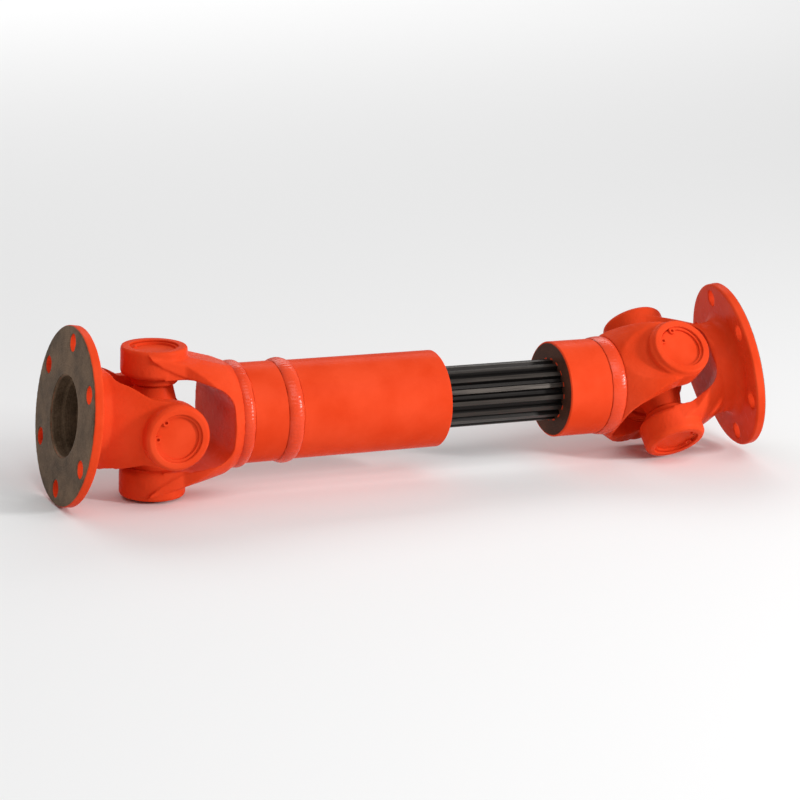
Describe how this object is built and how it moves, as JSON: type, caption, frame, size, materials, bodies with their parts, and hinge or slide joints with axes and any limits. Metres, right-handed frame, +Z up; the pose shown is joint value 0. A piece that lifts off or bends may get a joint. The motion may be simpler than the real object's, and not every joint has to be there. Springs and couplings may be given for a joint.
{
  "type": "universal joint shaft",
  "caption": "Telescoping cardan shaft with a universal joint and a bolted flange at each end, a splined bar sliding in a sleeve.",
  "frame": {"origin": "middle of the footprint, on the surface that the shaft lies on", "axes": "+X along the middle shaft from the sleeve end to the splined end, +Z up, tube yoke ears on Z"},
  "size_m": [0.4388, 0.1069, 0.1032],
  "materials": {
    "red_enamel": "glossy orange red enamel sprayed over the whole assembly, machined faces left bare",
    "black_steel": "oiled, blackened spline",
    "bearing_steel": "ground and hardened",
    "plain_steel": "bare steel",
    "seal_rubber": "black nitrile",
    "painted_seal": "seals sprayed over with the orange red enamel",
    "washer_plastic": "natural nylon"
  },
  "bodies": {
    "sleeve_half": {"spline_sleeve": "red_enamel", "tube_yoke": "red_enamel", "tube_yoke_weld": "red_enamel", "short_tube": "red_enamel", "sleeve_weld": "red_enamel", "sleeve_core_plug": "plain_steel", "sleeve_wiper": "seal_rubber", "tube_yoke_bearing_cups": "red_enamel", "tube_yoke_seals": "painted_seal", "tube_yoke_circlips": "red_enamel", "tube_yoke_thrust_washers": "washer_plastic"},
    "left_cross": {"left_cross": "red_enamel", "left_grease_nipple": "red_enamel"},
    "left_flange": {"left_flange_yoke": "red_enamel", "left_flange_bearing_cups": "red_enamel", "left_flange_seals": "painted_seal", "left_flange_circlips": "red_enamel", "left_flange_thrust_washers": "washer_plastic"},
    "tube_yoke_needle_ring": {"tube_yoke_needles": "bearing_steel"},
    "left_flange_needle_ring": {"left_flange_needles": "bearing_steel"},
    "splined_half": {"splined_bar": "black_steel", "hub": "red_enamel", "hub_sealant": "red_enamel", "hub_weld": "red_enamel", "shaft_yoke": "red_enamel", "shaft_yoke_bearing_cups": "red_enamel", "shaft_yoke_seals": "painted_seal", "shaft_yoke_circlips": "red_enamel", "shaft_yoke_thrust_washers": "washer_plastic"},
    "right_cross": {"right_cross": "red_enamel", "right_grease_nipple": "red_enamel"},
    "right_flange": {"right_flange_yoke": "red_enamel", "right_flange_bearing_cups": "red_enamel", "right_flange_seals": "painted_seal", "right_flange_circlips": "red_enamel", "right_flange_thrust_washers": "washer_plastic"},
    "shaft_yoke_needle_ring": {"shaft_yoke_needles": "bearing_steel"},
    "right_flange_needle_ring": {"right_flange_needles": "bearing_steel"}
  },
  "joints": [
    {"name": "left_cross_turn", "type": "hinge", "parent": "sleeve_half", "child": "left_cross", "pos_m": [-0.16212, 0.00386, 0.04427], "axis": [0, 0, 1], "range_deg": [-17, 16]},
    {"name": "left_flange_turn", "type": "hinge", "parent": "left_cross", "child": "left_flange", "pos_m": [-0.16212, 0.00386, 0.04427], "axis": [0.0087, -1, 0], "range_deg": [-9.9, 23.1]},
    {"name": "tube_yoke_needle_roll", "type": "hinge", "parent": "sleeve_half", "child": "tube_yoke_needle_ring", "pos_m": [-0.16212, 0.00386, 0.04427], "axis": [0, 0, 1], "range_deg": [-8.14, 7.72]},
    {"name": "left_flange_needle_roll", "type": "hinge", "parent": "left_cross", "child": "left_flange_needle_ring", "pos_m": [-0.16212, 0.00386, 0.04427], "axis": [0.0087, -1, 0], "range_deg": [-6.74, 14.4]},
    {"name": "spline_slide", "type": "slide", "parent": "sleeve_half", "child": "splined_half", "axis": [1, 0, 0], "range_m": [-0.038, 0.017]},
    {"name": "right_cross_turn", "type": "hinge", "parent": "splined_half", "child": "right_cross", "pos_m": [0.15688, 0.00386, 0.04427], "axis": [0, -0.729, 0.6845], "range_deg": [-18.6, 14.4]},
    {"name": "right_flange_turn", "type": "hinge", "parent": "right_cross", "child": "right_flange", "pos_m": [0.15688, 0.00386, 0.04427], "axis": [0.0366, -0.6841, -0.7285], "range_deg": [-30.7, 2.3]},
    {"name": "shaft_yoke_needle_roll", "type": "hinge", "parent": "splined_half", "child": "shaft_yoke_needle_ring", "pos_m": [0.15688, 0.00386, 0.04427], "axis": [0, -0.729, 0.6845], "range_deg": [-8.81, 7.05]},
    {"name": "right_flange_needle_roll", "type": "hinge", "parent": "right_cross", "child": "right_flange_needle_ring", "pos_m": [0.15688, 0.00386, 0.04427], "axis": [0.0366, -0.6841, -0.7285], "range_deg": [-18.81, 2.33]}
  ],
  "couplings": [
    {"joint": "tube_yoke_needle_roll", "follows": "left_cross_turn", "ratio": 0.4198},
    {"joint": "left_flange_needle_roll", "follows": "left_flange_turn", "ratio": 0.5802},
    {"joint": "shaft_yoke_needle_roll", "follows": "right_cross_turn", "ratio": 0.4198},
    {"joint": "right_flange_needle_roll", "follows": "right_flange_turn", "ratio": 0.5802}
  ]
}
